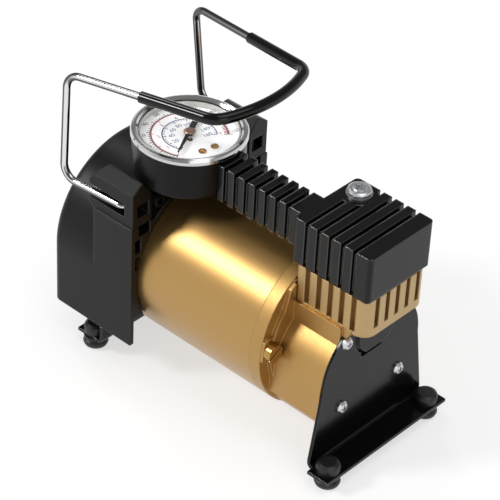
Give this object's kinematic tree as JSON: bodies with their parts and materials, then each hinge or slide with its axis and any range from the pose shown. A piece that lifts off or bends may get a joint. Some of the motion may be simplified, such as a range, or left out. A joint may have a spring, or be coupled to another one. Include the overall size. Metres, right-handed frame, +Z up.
{
  "type": "portable tire inflator",
  "caption": "Compact direct-drive air compressor: a drum motor, a finned cylinder with an arm to a round pressure gauge, a moulded rear shell, a bent wire handle and rubber feet.",
  "frame": {"origin": "on the floor under the middle of the overall length and width", "axes": "+X along the motor axis towards the cylinder, +Z up"},
  "size_m": [0.1654, 0.0874, 0.1468],
  "materials": {
    "gold_casting": "satin gold lacquer over a die casting",
    "gold_fins": "satin gold lacquer, a shade paler on the fins",
    "gold_can": "satin gold lacquer over drawn steel",
    "black_casting": "semi-gloss black paint over a die casting",
    "black_sheet": "semi-gloss black paint over sheet steel",
    "gold_bolt": "satin gold plating",
    "chrome_trim": "polished",
    "chrome_wire": "polished",
    "bright_screw": "bright zinc",
    "steel": "machined",
    "liner_steel": "honed",
    "piston_alloy": "machined",
    "seal": "filled fluoropolymer",
    "gasket": "pressed fibre",
    "core_iron": "stacked laminations",
    "copper": "lacquered copper wire",
    "copper_bars": "machined copper",
    "magnet": "ferrite",
    "carbon": "pressed carbon",
    "board": "pressed insulating board",
    "shell_plastic": "finely textured",
    "fan_plastic": "moulded",
    "switch_plastic": "smooth",
    "rocker_plastic": "smooth",
    "gauge_plastic": "smooth",
    "lens": "clear",
    "dial_white": "printed",
    "needle_black": "matt",
    "gauge_ring": "smooth",
    "brass": "machined",
    "foot_rubber": "matt",
    "grip_sleeve": "gloss",
    "gland_rubber": "matt",
    "outlet_black": "satin"
  },
  "bodies": {
    "inflator": {"crankcase": "gold_casting", "cylinder_block": "gold_fins", "cylinder_liner": "liner_steel", "head_gasket": "gasket", "valve_plate": "steel", "reed_valve": "steel", "cylinder_head": "black_casting", "head_bolt": "bright_screw", "head_washer": "bright_screw", "gauge_case": "gauge_plastic", "gauge_bezel": "chrome_trim", "gauge_ring": "gauge_ring", "gauge_lens": "lens", "gauge_dial": "dial_white", "dial_screws": "brass", "bourdon_tube": "brass", "gauge_stem": "brass", "hose_outlet": "outlet_black", "front_bracket": "black_sheet", "bracket_screws": "bright_screw", "through_bolts": "gold_bolt", "front_feet": "foot_rubber", "rear_feet": "foot_rubber", "rear_bracket": "black_sheet", "rear_bracket_screws": "bright_screw", "motor_can": "gold_can", "field_magnets": "magnet", "brushes": "carbon", "brush_plate": "board", "end_bell": "black_casting", "front_bearing": "steel", "rear_bearing": "steel", "rear_shell": "shell_plastic", "shell_screws": "bright_screw", "switch_frame": "switch_plastic", "cord_gland": "gland_rubber"},
    "rotor": {"motor_shaft": "steel", "armature_core": "core_iron", "armature_winding": "copper", "commutator": "copper_bars", "cooling_fan": "fan_plastic", "crank_disc": "steel"},
    "piston": {"piston": "piston_alloy", "piston_seal": "seal", "wrist_pin": "steel"},
    "rod": {"connecting_rod": "piston_alloy"},
    "needle": {"gauge_needle": "needle_black", "needle_hub": "brass"},
    "rocker": {"switch_rocker": "rocker_plastic"},
    "handle": {"wire_handle": "chrome_wire", "handle_grip": "grip_sleeve"}
  },
  "joints": [
    {"name": "crank_spin", "type": "hinge", "parent": "inflator", "child": "rotor", "pos_m": [-0.0002, 0, 0.0485], "axis": [1, 0, 0], "continuous": true},
    {"name": "piston_stroke", "type": "slide", "parent": "inflator", "child": "piston", "axis": [0, 0, 1], "range_m": [-0.016, 0]},
    {"name": "rod_swing", "type": "hinge", "parent": "piston", "child": "rod", "pos_m": [0.0564, 0, 0.0813], "axis": [1, 0, 0], "range_deg": [-19, 19]},
    {"name": "needle_sweep", "type": "hinge", "parent": "inflator", "child": "needle", "pos_m": [-0.0297, -0.0086, 0.1115], "axis": [0, 0, 1], "range_deg": [-250, 0], "stiffness_Nm_per_rad": 0.00002},
    {"name": "switch_rock", "type": "hinge", "parent": "inflator", "child": "rocker", "pos_m": [-0.0772, 0, 0.0565], "axis": [0, 1, 0], "range_deg": [0, 10]},
    {"name": "handle_tilt", "type": "hinge", "parent": "inflator", "child": "handle", "pos_m": [-0.0372, 0, 0.0864], "axis": [0, 1, 0], "range_deg": [-4, 4]}
  ]
}
